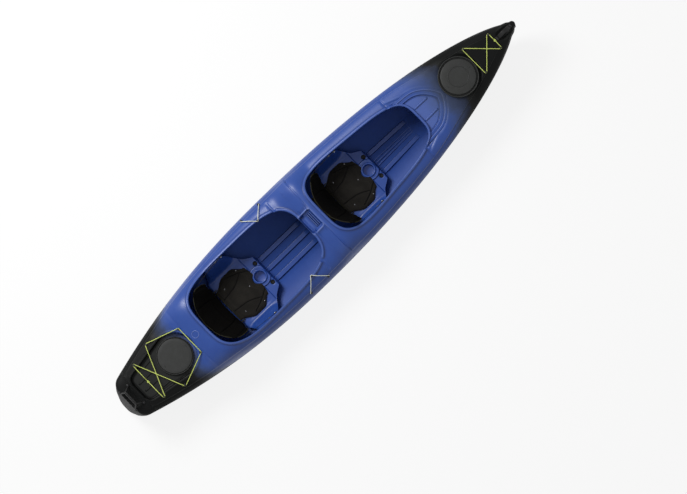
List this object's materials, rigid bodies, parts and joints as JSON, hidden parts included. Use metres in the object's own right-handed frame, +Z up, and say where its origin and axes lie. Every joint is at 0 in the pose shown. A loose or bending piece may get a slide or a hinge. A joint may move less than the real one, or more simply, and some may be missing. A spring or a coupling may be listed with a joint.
{
  "type": "tandem kayak",
  "caption": "Tandem kayak with a moulded hull and deck, open cockpits with folding backrests, sliding foot pedals, pull-off hatch covers, deck bungees and carry handles.",
  "frame": {"origin": "on the ground under the middle of the boat, at the level strip of the keel", "axes": "+X to the bow, +Y to port, +Z up"},
  "size_m": [4.115, 0.8112, 0.4782],
  "materials": {
    "shell": "rotomoulded polyethylene, blue that fades to black at both ends",
    "seat_shell": "blue moulded plastic",
    "pad_cloth": "black die-cut foam pad with a woven face",
    "webbing": "black woven strap",
    "lime_cord": "lime braided shock cord",
    "pale_cord": "pale green braided shock cord",
    "bright_steel": "stainless steel",
    "foam": "grey closed-cell foam",
    "hatch_rubber": "black moulded rubber",
    "fitting_plastic": "black moulded plastic"
  },
  "bodies": {
    "boat": {"hull_shell": "shell", "deck_shell": "shell", "bow_hatch_rim": "fitting_plastic", "stern_hatch_rim": "fitting_plastic", "rear_seat_pan": "seat_shell", "front_seat_pan": "seat_shell", "rear_seat_pad": "pad_cloth", "front_seat_pad": "pad_cloth", "rear_pad_rivets": "bright_steel", "front_pad_rivets": "bright_steel", "rear_hinge_brackets": "fitting_plastic", "front_hinge_brackets": "fitting_plastic", "rear_hinge_pins": "bright_steel", "front_hinge_pins": "bright_steel", "rear_backrest_straps": "webbing", "front_backrest_straps": "webbing", "rear_strap_anchors": "bright_steel", "front_strap_anchors": "bright_steel", "rear_port_rail": "fitting_plastic", "rear_starboard_rail": "fitting_plastic", "front_port_rail": "fitting_plastic", "front_starboard_rail": "fitting_plastic", "rail_screws": "bright_steel", "bow_bungee": "lime_cord", "stern_bungee": "lime_cord", "port_paddle_bungee": "pale_cord", "starboard_paddle_bungee": "pale_cord", "bow_deck_eyes": "fitting_plastic", "stern_deck_eyes": "fitting_plastic", "paddle_deck_eyes": "fitting_plastic", "paddle_hooks": "fitting_plastic", "bow_handle": "fitting_plastic", "stern_handle": "fitting_plastic", "handle_screws": "bright_steel", "stern_bulkhead": "foam", "bow_foam_block": "foam"},
    "rear_backrest": {"rear_backrest_frame": "fitting_plastic", "rear_backrest_pad": "pad_cloth"},
    "front_backrest": {"front_backrest_frame": "fitting_plastic", "front_backrest_pad": "pad_cloth"},
    "bow_hatch_cover": {"bow_hatch_cover": "hatch_rubber"},
    "stern_hatch_cover": {"stern_hatch_cover": "hatch_rubber"},
    "rear_port_pedal": {"rear_port_pedal": "fitting_plastic"},
    "rear_starboard_pedal": {"rear_starboard_pedal": "fitting_plastic"},
    "front_port_pedal": {"front_port_pedal": "fitting_plastic"},
    "front_starboard_pedal": {"front_starboard_pedal": "fitting_plastic"}
  },
  "joints": [
    {"name": "rear_backrest_fold", "type": "hinge", "parent": "boat", "child": "rear_backrest", "pos_m": [-0.971, 0, 0.112], "axis": [0, 1, 0], "range_deg": [0, 60], "deforming": ["rear_backrest_straps"]},
    {"name": "front_backrest_fold", "type": "hinge", "parent": "boat", "child": "front_backrest", "pos_m": [0.189, 0, 0.112], "axis": [0, 1, 0], "range_deg": [0, 60], "deforming": ["front_backrest_straps"]},
    {"name": "bow_hatch_lift", "type": "slide", "parent": "boat", "child": "bow_hatch_cover", "axis": [0, 0, 1], "range_m": [0, 0.06]},
    {"name": "stern_hatch_lift", "type": "slide", "parent": "boat", "child": "stern_hatch_cover", "axis": [0, 0, 1], "range_m": [0, 0.06]},
    {"name": "rear_port_pedal_slide", "type": "slide", "parent": "boat", "child": "rear_port_pedal", "axis": [0.9997, -0.0156, 0.016], "range_m": [-0.12, 0.12]},
    {"name": "rear_starboard_pedal_slide", "type": "slide", "parent": "boat", "child": "rear_starboard_pedal", "axis": [0.9997, 0.0156, 0.016], "range_m": [-0.12, 0.12]},
    {"name": "front_port_pedal_slide", "type": "slide", "parent": "boat", "child": "front_port_pedal", "axis": [0.9736, -0.1989, 0.1122], "range_m": [-0.12, 0.12]},
    {"name": "front_starboard_pedal_slide", "type": "slide", "parent": "boat", "child": "front_starboard_pedal", "axis": [0.9736, 0.1989, 0.1122], "range_m": [-0.12, 0.12]}
  ]
}
